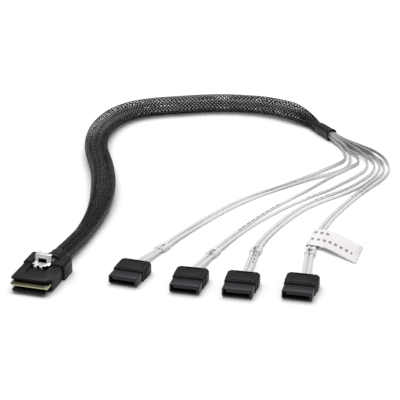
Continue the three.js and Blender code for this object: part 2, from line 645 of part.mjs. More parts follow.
function paddleCard() {
  const w = HALF - CARD_INSET;
  const tail = HALF - SHELL_WALL - TAIL_PLAY;
  const top = CARD_BASE + CARD_THICK;
  const shoulder = SHELL_FRONT - FIT;
  const plan = plate([
    [-w, CARD_FRONT + CARD_CORNER], [CARD_CORNER - w, CARD_FRONT], [w - CARD_CORNER, CARD_FRONT],
    [w, CARD_FRONT + CARD_CORNER], [w, shoulder], [tail, shoulder], [tail, CARD_BACK],
    [-tail, CARD_BACK], [-tail, shoulder], [-w, shoulder],
  ], CARD_BASE, top);
  const edge = sideProfile([
    [CARD_FRONT, CARD_BASE + CARD_BEVEL], [CARD_FRONT + CARD_BEVEL, CARD_BASE],
    [CARD_BACK, CARD_BASE], [CARD_BACK, top], [CARD_FRONT + CARD_BEVEL, top],
    [CARD_FRONT, top - CARD_BEVEL],
  ], -w, w);
  let card = plan.intersect(edge);
  for (let pad = 0; pad < PAD_COUNT; pad += 1) {
    const x = (pad - (PAD_COUNT - 1) / 2) * PAD_PITCH;
    const y0 = CARD_FRONT + PAD_START;
    card = card.add(block(x - PAD_WIDTH / 2, x + PAD_WIDTH / 2, y0, y0 + PAD_LENGTH,
      CARD_BASE - PAD_THICK, top + PAD_THICK));
  }
  return toGeometry(card);
}

// The potting behind the card, which holds the ribbons' ends
function wireBlock() {
  const roof = CARD_BASE + CARD_THICK;
  const back = ARCH_START - FIT;
  return toGeometry(block(
    FIT - CAVITY_HALF, CAVITY_HALF - FIT, CARD_BACK, back, FLOOR_THICK, roof));
}

function latchPiece() {
  const t = LATCH_SHEET;
  const stripZ = CARD_BASE + CARD_THICK + STRIP_LIFT;
  const around = (width, middle = LATCH_X) => [middle - width / 2, middle + width / 2];
  const strip = block(...around(STRIP_WIDTH), STRIP_FRONT, STRIP_BACK, stripZ, stripZ + t);
  const tab = block(...around(TAB_WIDTH), TAB_FRONT, LEDGE_FRONT + 1, LEDGE_Z, LEDGE_Z + t);
  const ledge = block(...around(LEDGE_WIDTH), LEDGE_FRONT, LEDGE_BACK, LEDGE_Z, LEDGE_Z + t);
  const lipBack = LEDGE_BACK + RISER_LEAN + LIP_DEPTH;
  const riser = sideProfile([
    [LEDGE_BACK - t, LEDGE_Z], [LEDGE_BACK, LEDGE_Z], [LEDGE_BACK + RISER_LEAN, RISER_TOP - t],
    [lipBack, RISER_TOP - t], [lipBack, RISER_TOP], [LEDGE_BACK + RISER_LEAN - t, RISER_TOP],
  ], ...around(RISER_WIDTH));
  const earLeft = LATCH_X - RISER_WIDTH / 2 + EAR_IN;
  const ear = block(
    earLeft, earLeft + EAR_WIDTH, lipBack - t, lipBack, RISER_TOP - t, RISER_TOP + EAR_HEIGHT);
  const opening = block(...around(WINDOW_WIDTH, LATCH_X + WINDOW_SHIFT), LEDGE_BACK - 2 * LATCH_SHEET,
    LEDGE_BACK + RISER_LEAN + 1, LEDGE_Z + WINDOW_BASE, LEDGE_Z + WINDOW_BASE + WINDOW_HEIGHT);
  const hooks = HOOKS_X.map((x) => sideProfile([
    [STRIP_BACK - t, stripZ], [STRIP_BACK, stripZ], [STRIP_BACK, LEDGE_Z],
    [TAB_FRONT + t, LEDGE_Z], [TAB_FRONT + t, HOOK_TOP], [HOOK_FRONT + t, HOOK_TOP],
    [HOOK_FRONT, LEDGE_Z], [STRIP_BACK - t, LEDGE_Z],
  ], ...around(HOOK_WIDTH, LATCH_X + x)));
  return toGeometry(cut(join(strip, tab, ledge, riser, ear, ...hooks), opening));
}

addPiece('plug_lower_shell', lowerShell(), BLACK_SHELL);
addPiece('plug_upper_shell', upperShell(), BLACK_SHELL);
addPiece('paddle_card', paddleCard(), CARD_GREEN);
addPiece('wire_block', wireBlock(), POTTING);
addPiece('latch', latchPiece(), SPRING_STEEL);

// Sleeve and shrunk tubes

const bandOuter = WRAP + BAND_WALL;
const flareAt = (share) => MOUTH_FLARE * Math.max(0, share * 4 - 3);
addPiece('braided_sleeve', trunkTube(0, TRUNK_STEPS - 1, () => 0, () => -SLEEVE_WALL), BRAID);
addPiece('front_shrink_band', toGeometry(cut(
  cableBar(BAND_PLAY + BAND_WALL, TRUNK[0][1], TRUNK[0][1] + BAND_LENGTH),
  cableBar(BAND_PLAY, TRUNK[0][1] - 1, TRUNK[0][1] + BAND_LENGTH + 1))), SHRINK);
addPiece('rear_shrink_tube', trunkTube(TAIL_START_STEP, TRUNK_STEPS,
  (share) => bandOuter + flareAt(share), (share) => WRAP + flareAt(share)), SHRINK);

// Receptacles

const NOSE_BASE = (OVER_HEIGHT + PANEL_HEIGHT - NOSE_HEIGHT) / 2;
const MID_Z = NOSE_BASE + NOSE_HEIGHT / 2;
const OVER_FRONT = NOSE_LENGTH + FIT;
const OVER_BACK = OVER_FRONT + OVER_LENGTH;
const SLOT_RIGHT = SLOT_LEFT + SLOT_WIDTH;

function receptacleHousing() {
  const nose = frontProfile(roundedRectangle(
    -NOSE_WIDTH / 2, NOSE_WIDTH / 2, NOSE_BASE, NOSE_BASE + NOSE_HEIGHT, NOSE_ROUND),
  0, NOSE_LENGTH);
  const tailEnd = NOSE_LENGTH + TAIL_LENGTH;
  const tail = block(-TAIL_WIDTH / 2, TAIL_WIDTH / 2, NOSE_LENGTH - 1, tailEnd,
    MID_Z - TAIL_HEIGHT / 2, MID_Z + TAIL_HEIGHT / 2);
  const slot = block(SLOT_LEFT, SLOT_RIGHT, -1, tailEnd + 1, SLOT_BASE, SLOT_BASE + SLOT_HEIGHT);
  const key = block(SLOT_LEFT, SLOT_LEFT + KEY_WIDTH, -1, KEY_DEPTH,
    SLOT_BASE, SLOT_BASE + SLOT_HEIGHT + KEY_HEIGHT);
  return toGeometry(cut(join(nose, tail), slot, key));
}

function receptacleContacts() {
  const tailEnd = NOSE_LENGTH + TAIL_LENGTH;
  const top = SLOT_BASE + SLOT_HEIGHT - FIT;
  const middle = (SLOT_LEFT + SLOT_RIGHT) / 2;
  const carrierFront = tailEnd - CARRIER_LENGTH - FIT;
  const carrier = block(SLOT_LEFT + FIT, SLOT_RIGHT - FIT, carrierFront, tailEnd - FIT,
    SLOT_BASE + FIT, top);
  const blades = Array.from({ length: CONTACTS }, (_, index) => {
    const x = middle + (index - (CONTACTS - 1) / 2) * CONTACT_PITCH;
    return block(x - CONTACT_WIDTH / 2, x + CONTACT_WIDTH / 2, CONTACT_FRONT,
      carrierFront + 1, top - CONTACT_THICK, top);
  });
  return toGeometry(join(carrier, ...blades));
}

function receptacleOvermould() {
  const w = OVER_WIDTH / 2;
  const narrow = w - OVER_STEP;
  const plan = plate([
    [-narrow, OVER_FRONT], [narrow, OVER_FRONT], [narrow, OVER_STEP_Y],
    [w, OVER_STEP_Y + OVER_STEP], [w, OVER_BACK - OVER_CORNER], [w - OVER_CORNER, OVER_BACK],
    [OVER_CORNER - w, OVER_BACK], [-w, OVER_BACK - OVER_CORNER],
    [-w, OVER_STEP_Y + OVER_STEP], [-narrow, OVER_STEP_Y],
  ], -1, OVER_HEIGHT + 1);
  const body = frontProfile(
    roundedRectangle(-w, w, 0, OVER_HEIGHT, OVER_ROUND), OVER_FRONT, OVER_BACK).intersect(plan);
  const panel = block(-PANEL_WIDTH / 2, PANEL_WIDTH / 2, PANEL_FRONT, PANEL_BACK,
    OVER_HEIGHT / 2, OVER_HEIGHT + PANEL_HEIGHT);
  const rib = sideProfile([
    [RIB_BACK - RIB_LENGTH, OVER_HEIGHT / 2], [RIB_BACK, OVER_HEIGHT / 2],
    [RIB_BACK, OVER_HEIGHT], [RIB_BACK - RIB_LENGTH / 3, OVER_HEIGHT + RIB_HEIGHT],
    [RIB_BACK - RIB_LENGTH, OVER_HEIGHT + RIB_HEIGHT],
  ], -RIB_WIDTH / 2, RIB_WIDTH / 2);
  const cavity = block(-TAIL_WIDTH / 2 - FIT, TAIL_WIDTH / 2 + FIT, OVER_FRONT - 1,
    NOSE_LENGTH + TAIL_LENGTH + FIT,
    MID_Z - TAIL_HEIGHT / 2 - FIT, MID_Z + TAIL_HEIGHT / 2 + FIT);
  const sockets = [-1, 1].map((side) => {
    const x = side * SOCKET_PITCH / 2;
    const reach = RIBBON_WIDTH / 2 + FIT;
    const rise = RIBBON_THICK / 2 + FIT;
    return block(x - reach, x + reach, OVER_BACK - SOCKET_DEPTH, OVER_BACK + 1,
      SOCKET_Z - rise, SOCKET_Z + rise);
  });
  const sideGrooves = [-1, 1].map((side) => {
    const edges = [side * (narrow - SIDE_GROOVE), side * (w + 1)].sort((p, q) => p - q);
    return block(...edges, SIDE_GROOVE_Y, SIDE_GROOVE_Y + SIDE_GROOVE,
      OVER_ROUND, OVER_HEIGHT + 1);
  });
  return toGeometry(cut(join(body, panel, rib), cavity, ...sockets, ...sideGrooves));
}

PLUGS.forEach((plug, index) => {
  const group = new THREE.Group();
  group.position.set(plug.x, plug.y, 0);
  group.rotation.z = THREE.MathUtils.degToRad(plug.turn);
  cable.add(group);
  const name = `receptacle_${index + 1}`;
  addPiece(`${name}_housing`, receptacleHousing(), BLACK_OVERMOULD, group);
  addPiece(`${name}_contacts`, receptacleContacts(), CONTACT_METAL, group);
  addPiece(`${name}_overmould`, receptacleOvermould(), BLACK_OVERMOULD, group);
});

// Ribbons and the number labels round each pair

function pointFromEnd(rings, distance) {
  let left = distance;
  for (let i = rings.length - 1; i > 0; i -= 1) {
    const [near, far] = [rings[i].point, rings[i - 1].point];
    const length = near.distanceTo(far);
    if (left <= length) {
      return {
        point: near.clone().lerp(far, left / length),
        forward: near.clone().sub(far).normalize(),
      };
    }
    left -= length;
  }
  return { point: rings[0].point.clone(), forward: new THREE.Vector3(0, 1, 0) };
}

function numberLabel(ringsA, ringsB, fromPlug) {
  const back = SOCKET_DEPTH - FIT + fromPlug;
  const [a, b] = [pointFromEnd(ringsA, back), pointFromEnd(ringsB, back)];
  const middle = a.point.clone().add(b.point).multiplyScalar(0.5);
  const forward = a.forward.clone().add(b.forward).normalize();
  const halfWidth = a.point.distanceTo(b.point) / 2 + RIBBON_WIDTH / 2 + FIT + LABEL_WALL;
  const halfHeight = RIBBON_THICK / 2 + FIT + LABEL_WALL;
  const shape = roundedRectangle(
    -halfWidth, halfWidth, -halfHeight, halfHeight, halfHeight * 0.8);
  shape.holes.push(roundedRectangle(LABEL_WALL - halfWidth, halfWidth - LABEL_WALL,
    LABEL_WALL - halfHeight, halfHeight - LABEL_WALL, (halfHeight - LABEL_WALL) * 0.8));
  const geometry = new THREE.ExtrudeGeometry(shape, {
    depth: LABEL_LENGTH, bevelEnabled: false, curveSegments: 2,
  });
  const { left, up } = axesFor(forward);
  const place = new THREE.Matrix4().makeBasis(left, up, forward);
  place.setPosition(middle.clone().addScaledVector(forward, -LABEL_LENGTH / 2));
  return mergeVertices(stripped(geometry).applyMatrix4(place), 1e-5);
}

LEGS.forEach((leg, layer) => {
  const ringsA = ribbonRings(layer, 0, leg.a, PLUGS[layer], -1);
  const ringsB = ribbonRings(layer, 1, leg.b, PLUGS[layer], 1);
  addPiece(`ribbon_${layer + 1}_a`, ribbonGeometry(ringsA), RIBBON_FILM);
  addPiece(`ribbon_${layer + 1}_b`, ribbonGeometry(ringsB), RIBBON_FILM);
  addPiece(`number_label_${layer + 1}`, numberLabel(ringsA, ringsB, PLUGS[layer].label), LABEL_FILM);
});

// Flag label: a strip of film looped round leg 4, its two ends stuck face to face

function flagLabel() {
  const [x0, x1] = FLAG_ROOT;
  const floor = LIE + FLAG_PLY;
  const roof = floor + RIBBON_THICK + 2 * FIT + LABEL_WALL;
  const middle = (floor + roof) / 2;
  const tail = new THREE.SplineCurve(
    [[x1 + FLAG_PLY, middle + 0.2], ...FLAG_TAIL].map(([x, z]) => new THREE.Vector2(x, z)));
  const line = tail.getPoints(12).slice(1);
  const shape = new THREE.Shape();
  shape.moveTo(x0 + 0.6, LIE);
  shape.lineTo(x1 - 0.4, LIE);
  shape.lineTo(x1 + FLAG_PLY, middle - FLAG_PLY);
  line.forEach((spot) => shape.lineTo(spot.x, spot.y - FLAG_PLY));
  line.reverse().forEach((spot) => shape.lineTo(spot.x, spot.y + FLAG_PLY));
  shape.lineTo(x1, roof + FLAG_PLY);
  shape.lineTo(x0 + 0.4, roof + FLAG_PLY);
  shape.lineTo(x0 - FLAG_PLY, roof - 0.3);
  shape.lineTo(x0 - FLAG_PLY, floor + 0.3);
  const hole = new THREE.Path();
  hole.moveTo(x0 + 0.6, floor);
  hole.lineTo(x0, floor + 0.5);
  hole.lineTo(x0, roof - 0.5);
  hole.lineTo(x0 + 0.6, roof);
  hole.lineTo(x1 - 0.6, roof);
  hole.lineTo(x1, middle);
  hole.lineTo(x1 - 0.6, floor);
  shape.holes.push(hole);
  const geometry = new THREE.ExtrudeGeometry(shape, {
    depth: FLAG_LENGTH, bevelEnabled: false,
  });
  const turn = new THREE.Matrix4().makeBasis(
    new THREE.Vector3(1, 0, 0), new THREE.Vector3(0, 0, 1), new THREE.Vector3(0, -1, 0));
  stripped(geometry).applyMatrix4(turn).translate(0, FLAG_START + FLAG_LENGTH, 0);
  const spots = geometry.attributes.position;
  for (let i = 0; i < spots.count; i += 1) {
    const past = Math.max(0, spots.getX(i) - x1 - FLAG_PLY);
    spots.setY(i, spots.getY(i) - FLAG_SLANT * past);
  }
  return mergeVertices(geometry, 1e-5);
}

addPiece('flag_label', flagLabel(), LABEL_FILM);

export default cable;
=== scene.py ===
# Mini SAS breakout cable: a 36-way plug with a spring latch, a braided trunk and four
# pairs of flat silver ribbons that fan out to numbered 7-way receptacles.
import math

import bmesh
import bpy
import numpy as np
from mathutils import Matrix, Vector


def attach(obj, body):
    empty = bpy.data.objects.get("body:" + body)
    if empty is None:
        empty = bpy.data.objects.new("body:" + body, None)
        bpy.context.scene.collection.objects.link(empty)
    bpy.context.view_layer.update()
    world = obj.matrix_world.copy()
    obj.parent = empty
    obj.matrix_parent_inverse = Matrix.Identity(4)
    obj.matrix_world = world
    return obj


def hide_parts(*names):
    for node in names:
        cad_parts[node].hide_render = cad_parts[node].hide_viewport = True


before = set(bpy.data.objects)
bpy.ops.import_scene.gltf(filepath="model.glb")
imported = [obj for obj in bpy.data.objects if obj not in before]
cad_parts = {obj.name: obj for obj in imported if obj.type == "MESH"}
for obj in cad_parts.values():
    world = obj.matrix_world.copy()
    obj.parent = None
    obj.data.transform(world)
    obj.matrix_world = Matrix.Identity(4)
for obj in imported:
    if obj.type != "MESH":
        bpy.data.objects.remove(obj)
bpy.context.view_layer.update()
MM = 0.001

# Camera: a long lens on a stand at the front right of the plug, looking down a little and
# turned left, as the photograph was taken.
CAMERA_PLACE = (223.22, -505.75, 272.15)
CAMERA_TURN = 16.5526
CAMERA_PITCH = 23.0257
LENS = 126
SENSOR_WIDTH = 36
camera_data = bpy.data.cameras.new("camera")
camera_data.lens = LENS
camera_data.sensor_width = SENSOR_WIDTH
camera_data.clip_start = 0.01
camera = bpy.data.objects.new("camera", camera_data)
bpy.context.scene.collection.objects.link(camera)
camera.location = [c * MM for c in CAMERA_PLACE]
camera.rotation_euler = (math.radians(90 - CAMERA_PITCH), 0, math.radians(CAMERA_TURN))
bpy.context.scene.camera = camera


# Trunk line: where the stack of ribbons and its sleeve lie, from inside the plug to the
# end of the shrink tube. Its points are listed as (x, y) in millimetres.
TRUNK = [
    (1.8, 10.7), (1.8, 13), (1.8, 16), (1.8, 19.6), (1.9, 24), (2.2, 30), (2.3, 37), (2.3, 46),
    (1.8, 55.4), (0.9, 65), (-0.5, 74.5), (-2.6, 84.2), (-5.3, 94), (-8.6, 104), (-12.5, 114),
    (-17, 124.2), (-22.2, 134.6), (-27.5, 145.2), (-32, 156.6), (-35.3, 168.6), (-37, 181.4),
    (-36.8, 193.6), (-34.8, 203.2), (-31.2, 210.8), (-26.2, 216.9), (-19.8, 221.9),
    (-12.4, 226.2), (-4.5, 230.3), (3.5, 234.4), (11.8, 237.9), (20.4, 240.3), (29.2, 241.3),
    (38.4, 241.6), (48.2, 239.6), (57.8, 235.6), (65.4, 231), (71.6, 225.9), (76, 220.4),
    (81.4, 214.8), (86.6, 208.9),
]
# How far along, half the width, half the height and how square the section is
GIRTH = np.array([
    (0, 3.7, 3.2, 2.1), (30, 3.9, 3.4, 2.1), (95, 6.2, 5.1, 2.2), (250, 6.1, 5, 2.2),
    (304, 5.7, 4.8, 2.2), (332, 2.35, 2.5, 3.2), (400, 2.35, 2.5, 3.2),
])
CABLE_Z = 4.45
LIE = 0.05
PLUG_LIFT = CABLE_Z - GIRTH[0][2]
# How far along, and the height of the sleeve's underside there
LIFTS = np.array([(0, PLUG_LIFT), (5, PLUG_LIFT), (38, LIE), (1000, LIE)])
# The far end rises by MOUTH_LIFT over a share of the trunk's length
MOUTH_LIFT = 0.75
MOUTH_RISE_START = 0.75
MOUTH_RISE_SHARE = 0.15
SLACK_START = 20
SLACK_LENGTH = 285
TURN_LENGTH = 285
TANGENT_REACH = 0.4


def smooth(t):
    t = np.clip(t, 0, 1)
    return t * t * (3 - 2 * t)


def between(stops, at, column):
    """A value that eases from stop to stop."""
    index = np.clip(np.searchsorted(stops[:, 0], at), 1, len(stops) - 1)
    low, high = stops[index - 1], stops[index]
    share = smooth((at - low[..., 0]) / (high[..., 0] - low[..., 0]))
    return low[..., column] + share * (high[..., column] - low[..., column])


def curve_through(points, pieces):
    """A centripetal Catmull-Rom curve through points, cut into pieces between each two."""
    p = np.asarray(points, float)
    p = np.vstack([2 * p[0] - p[1], p, 2 * p[-1] - p[-2]])
    spots = [p[1][None]]
    for a, b, c, d, n in zip(p, p[1:], p[2:], p[3:], pieces):
        d0, d1, d2 = (math.sqrt(np.linalg.norm(v)) for v in (b - a, c - b, d - c))
        t1 = ((b - a) / d0 - (c - a) / (d0 + d1) + (c - b) / d1) * d1
        t2 = ((c - b) / d1 - (d - b) / (d1 + d2) + (d - c) / d2) * d1
        t = (np.arange(1, n + 1) / n)[:, None]
        spots.append(b + t1 * t + (3 * (c - b) - 2 * t1 - t2) * t**2
                     + (2 * (b - c) + t1 + t2) * t**3)
    return np.vstack(spots)


def lengths_along(points):
    steps = np.linalg.norm(np.diff(points, axis=0), axis=1)
    return np.concatenate([[0], np.cumsum(steps)])


def tangents_of(points):
    tangent = np.gradient(points, axis=0)
    return tangent / np.linalg.norm(tangent, axis=1)[:, None]


def axes_for(tangent):
    left = np.stack([-tangent[:, 1], tangent[:, 0], np.zeros(len(tangent))], 1)
    left /= np.linalg.norm(left, axis=1)[:, None]
    return left, np.cross(tangent, left)


PLAN_PIECES = 60
trunk_plan = curve_through([(x, y, 0) for x, y in TRUNK], [PLAN_PIECES] * (len(TRUNK) - 1))
trunk_along = lengths_along(trunk_plan)
TRUNK_LENGTH = trunk_along[-1]


class Stations:
    """Places along the trunk with their axes and girth, from one length to another."""

    def __init__(self, start, end, step):
        count = max(2, round((end - start) / step) + 1)
        self.along = np.linspace(start, end, count)
        self.point = np.stack(
            [np.interp(self.along, trunk_along, trunk_plan[:, i]) for i in range(3)], 1)
        ahead = np.stack([np.interp(self.along + TANGENT_REACH, trunk_along, trunk_plan[:, i])
                          - np.interp(self.along - TANGENT_REACH, trunk_along, trunk_plan[:, i])
                          for i in range(3)], 1)
        self.left, self.up = axes_for(ahead / np.linalg.norm(ahead, axis=1)[:, None])
        self.half_width = between(GIRTH, self.along, 1)
        self.half_height = between(GIRTH, self.along, 2)
        self.squareness = between(GIRTH, self.along, 3)
        share = self.along / TRUNK_LENGTH
        rise = MOUTH_LIFT * smooth((share - MOUTH_RISE_START) / MOUTH_RISE_SHARE)
        self.point[:, 2] = self.half_height + between(LIFTS, self.along, 1) + rise
        self.slack = np.sin(math.pi * smooth((self.along - SLACK_START) / SLACK_LENGTH))
        self.turn = math.pi * smooth(self.along / TURN_LENGTH)

    def surface(self, angle, grow):
        """Points of the sleeve's outside at an angle for each station, moved out by grow."""
        power = 2 / self.squareness
        c, s = np.cos(angle), np.sin(angle)
        across = np.sign(c) * np.abs(c) ** power * (self.half_width + grow)
        high = np.sign(s) * np.abs(s) ** power * (self.half_height + grow)
        return self.point + self.left * across[:, None] + self.up * high[:, None]


# Ribbons: each is a pair of insulated wires and a drain in a wrapped silver film. They
# run through the trunk as a stack, stand on edge where they fan out and then lie flat.
RIBBON_WIDTH = 1.8
RIBBON_THICK = 0.75
RIBBON_GAP = 0.08
ROW_GAP = 0.1
SPREAD_FACES = 1.5
SPREAD_EDGES = 1.0
STAND_FOR = 45
FLAT_FROM = 105
NOSE_LENGTH = 6.5
OVER_LENGTH = 10.6
SOCKET_PITCH = 2.1
SOCKET_DEPTH = 3
SOCKET_Z = 2.45
SOCKET_LEAD = 4.5
FIT = 0.3
# Each receptacle's front: x, y, its turn in degrees, and how far behind it the label sits
PLUGS = [(35.9, 6.8, -2.4, 23.6), (63.8, 6.8, 3.1, 24.6), (86.5, 9.3, 4.1, 30.4),
         (111.4, 14.5, 2.6, 30.6)]
# Each leg's two ribbons from the trunk's mouth on: x, y and the height of the lower side
LEGS = [
    ([(90.6, 201.9, 1.03), (94.9, 195.3, 0.77), (97.8, 188, 0.5), (99.4, 182.2, 0.2),
      (98.9, 178.1, 0.05), (96.7, 172.1, 0.05), (92.7, 164.6, 0.05), (87.7, 154.9, 0.05),
      (81.8, 145.8, 0.05), (75.6, 136.9, 0.05), (69.4, 128.3, 0.05), (63.4, 119, 0.05),
      (58, 108.2, 0.05), (53.2, 96.2, 0.05), (49, 83.9, 0.1), (45.4, 71.3, 0.3),
      (42.5, 59.1, 0.75), (40.2, 48.9, 0.8), (37.7, 38.6, 1.2)],
     [(90.9, 202.1, 3), (95.7, 195.9, 2.8), (99.4, 189, 2.6), (101.9, 182.8, 1.6),
      (103, 176.2, 0.7), (102.5, 169.9, 0.1), (99.7, 163.3, 0.05), (94.2, 156.3, 0.05),
      (87.5, 148.4, 0.05), (80.6, 139.1, 0.05), (73.8, 129.5, 0.05), (67.4, 119.3, 0.05),
      (61.6, 108.1, 0.05), (56.4, 96, 0.05), (52, 83.4, 0.1), (48.1, 71.2, 0.3),
      (44.8, 59.2, 0.75), (42.5, 49, 0.8), (40, 39, 1.2)]),
    ([(91.3, 202.9, 1.1), (96.2, 197.1, 0.9), (101, 191.2, 0.7), (104.8, 186.4, 0.4),
      (106.9, 180.6, 0.2), (106.8, 176.5, 0.1), (105, 171.8, 0.05), (102.2, 165.5, 0.05),
      (98.7, 158.3, 0.05), (95.3, 149.8, 0.05), (91.7, 140.7, 0.05), (88, 131.3, 0.05),
      (84.1, 122, 0.05), (80.1, 112.1, 0.05), (76.3, 101.3, 0.05), (72.7, 89.9, 0.05),
      (69.6, 78.5, 0.1), (66.9, 67.1, 0.3), (65.1, 56.5, 0.75), (63.5, 47.9, 0.8),
      (62.2, 38.8, 1.2)],
     [(91.4, 203, 3.07), (96.7, 197.5, 2.93), (102.2, 192.2, 2.8), (107.2, 187.6, 1.9),
      (110.8, 181.6, 0.9), (112.4, 175, 0.2), (112.3, 168.1, 0.05), (110.5, 161.9, 0.05),
      (107.7, 154.9, 0.05), (103.9, 146.7, 0.05), (99.4, 137.5, 0.05), (94.4, 129.2, 0.05),
      (89.4, 120.2, 0.05), (84.5, 110.9, 0.05), (80, 100.6, 0.05), (75.9, 90, 0.05),
      (72.4, 79.4, 0.1), (69.5, 68, 0.3), (67.4, 57.2, 0.75), (65.8, 48.2, 0.8),
      (64.6, 39.4, 1.2)]),
    ([(92.1, 203.5, 1.13), (97.6, 198.1, 0.97), (103.4, 193.2, 0.8), (108.6, 189.2, 0.5),
      (112.9, 184, 0.3), (115.6, 177.8, 0.15), (116.7, 171.2, 0.1), (116.2, 164.4, 0.05),
      (114.2, 156.8, 0.05), (111, 148.6, 0.05), (106.9, 140.6, 0.05), (102.2, 132.9, 0.05),
      (97.5, 125.4, 0.05), (93.1, 117.5, 0.05), (89.5, 108.3, 0.05), (86.6, 98, 0.05),
      (84.4, 87.4, 0.1), (82.7, 76.8, 0.3), (81.7, 67.4, 0.5), (81.4, 58.8, 0.8),
      (81.8, 50.6, 0.8), (82.6, 43.1, 1.4)],
     [(92.2, 203.6, 3.13), (97.9, 198.6, 3.07), (104.2, 194.2, 3), (110.2, 190.6, 2.3),
      (115, 185.4, 1.3), (118, 179.2, 0.5), (119.2, 172.4, 0.1), (119.1, 165.2, 0.05),
      (117.9, 157.8, 0.05), (115.6, 150, 0.05), (112.1, 142.2, 0.05), (107.7, 134.6, 0.05),
      (103, 127.2, 0.05), (98.3, 119.8, 0.05), (94.1, 111.4, 0.05), (90.7, 102, 0.05),
      (87.9, 91.6, 0.1), (85.5, 80.6, 0.3), (84, 69.7, 0.5), (83.7, 60.2, 0.8),
      (84.1, 51.5, 0.9), (84.9, 43.8, 1.4)]),
    ([(93.2, 204, 1.13), (99.4, 198.8, 0.97), (106, 194.2, 0.8), (112.2, 190.2, 0.5),
      (117.2, 184.6, 0.3), (120.4, 178, 0.15), (121.8, 171, 0.1), (121.5, 163.6, 0.05),
      (119, 155, 0.05), (116.1, 145.7, 0.05), (113.8, 136.1, 0.05), (111.3, 126.2, 0.05),
      (109, 116, 0.05), (107.1, 105.9, 0.05), (105.9, 95.8, 0.1), (105.2, 86.1, 0.4),
      (105, 76.5, 0.8), (105.3, 66.9, 0.8), (106.1, 58, 0.8), (107.3, 49.4, 1.1)],
     [(93.3, 204.1, 3.07), (99.8, 199.3, 2.93), (106.8, 195.2, 2.8), (113.6, 191.6, 2.1),
      (119.2, 186.2, 1.2), (122.8, 179.4, 0.5), (124.3, 172.2, 0.1), (124.2, 164.8, 0.05),
      (122.5, 156.5, 0.05), (119.3, 147, 0.05), (116.2, 137, 0.05), (113.6, 126.8, 0.05),
      (111.4, 116.3, 0.05), (109.3, 106, 0.05), (108.1, 95.7, 0.1), (107.4, 85.8, 0.4),
      (107.2, 76.1, 0.8), (107.5, 66.7, 0.8), (108.3, 57.8, 0.8), (109.6, 49.3, 1.1)]),
]
RIBBON_RING_STEP = 1.6
TRUNK_RING_STEP = 2.0
MOUTH_RINGS = 4
# Where each ribbon's printed marks begin, back from its receptacle, and how far they go
MARKS = {
    "ribbon_1_b": (150, 12), "ribbon_2_a": (56, 39), "ribbon_2_b": (108, 28),
    "ribbon_3_a": (101, 45), "ribbon_3_b": (17, 22), "ribbon_4_a": (103, 29),
    "ribbon_4_b": (110, 25),
}
# Taken off the lengths of a bare stretch, because only lengths above zero are printed
UNPRINTED = 1000
MARK_COLOR = (0.08, 0.08, 0.09, 1)
MARK_SHARE = 0.8
MARK_MIDDLE = 0.91
MARK_HALF_HEIGHT = 0.055
MARK_PITCH = 4.4
MARK_LENGTH = 3.3
MARK_RAG = 2.2
# Painted shade: the stretch where the ribbons stand on edge, before and beyond the trunk's mouth,
# is painted a darker grey for the overhead light their upright faces miss
FAN_SHADE_LEAD = 12
FAN_SHADE_FADE_IN = 10
FAN_SHADE_REACH = 50
FAN_SHADE_LAYER_STEP = 7
FAN_SHADE_FADE_OUT = 28


def mesh_piece(name, points, faces, material, uv=None, smooth_faces=True):
    """A mesh object from points in millimetres."""
    mesh = bpy.data.meshes.new(name)
    mesh.from_pydata((np.asarray(points) * MM).tolist(), [], faces)
    if uv is not None:
        layer = mesh.uv_layers.new(name="along")
        corners = np.asarray([c for face in uv for c in face], float)
        layer.data.foreach_set("uv", corners.ravel())
    mesh.materials.append(material)
    mesh.polygons.foreach_set("use_smooth", [smooth_faces] * len(mesh.polygons))
    mesh.update()
    piece = bpy.data.objects.new(name, mesh)
    bpy.context.scene.collection.objects.link(piece)
    return piece


def ring_faces(rings, sides, base=0, ends=True):
    """Quads between rings of the same number of points, and a flat cap at each end."""
    faces = []
    for ring in range(rings - 1):
        low = base + ring * sides
        for side in range(sides):
            right = (side + 1) % sides
            faces.append((low + side, low + right, low + sides + right, low + sides + side))
    if ends:
        faces.append(tuple(base + side for side in reversed(range(sides))))
        faces.append(tuple(base + (rings - 1) * sides + side for side in range(sides)))
    return faces


class Socket:
    """A value in a material's nodes. Arithmetic on it adds Math nodes."""

    def __init__(self, finish, socket):
        self.finish, self.socket = finish, socket

    def _math(self, operation, *values):
        return self.finish.node("ShaderNodeMath", {"operation": operation}, *values)

    def output(self, name):
        """Another output of the node that this value comes from."""
        return Socket(self.finish, self.socket.node.outputs[name])

    def __add__(self, other):
        return self._math("ADD", self, other)

    __radd__ = __add__

    def __sub__(self, other):
        return self._math("SUBTRACT", self, other)

    def __rsub__(self, other):
        return self._math("SUBTRACT", other, self)

    def __mul__(self, other):
        return self._math("MULTIPLY", self, other)

    __rmul__ = __mul__

    def __lt__(self, other):
        return self._math("LESS_THAN", self, other)

    def __gt__(self, other):
        return self._math("GREATER_THAN", self, other)

    def __mod__(self, other):
        return self._math("FLOORED_MODULO", self, other)

    def __abs__(self):
        return self._math("ABSOLUTE", self)


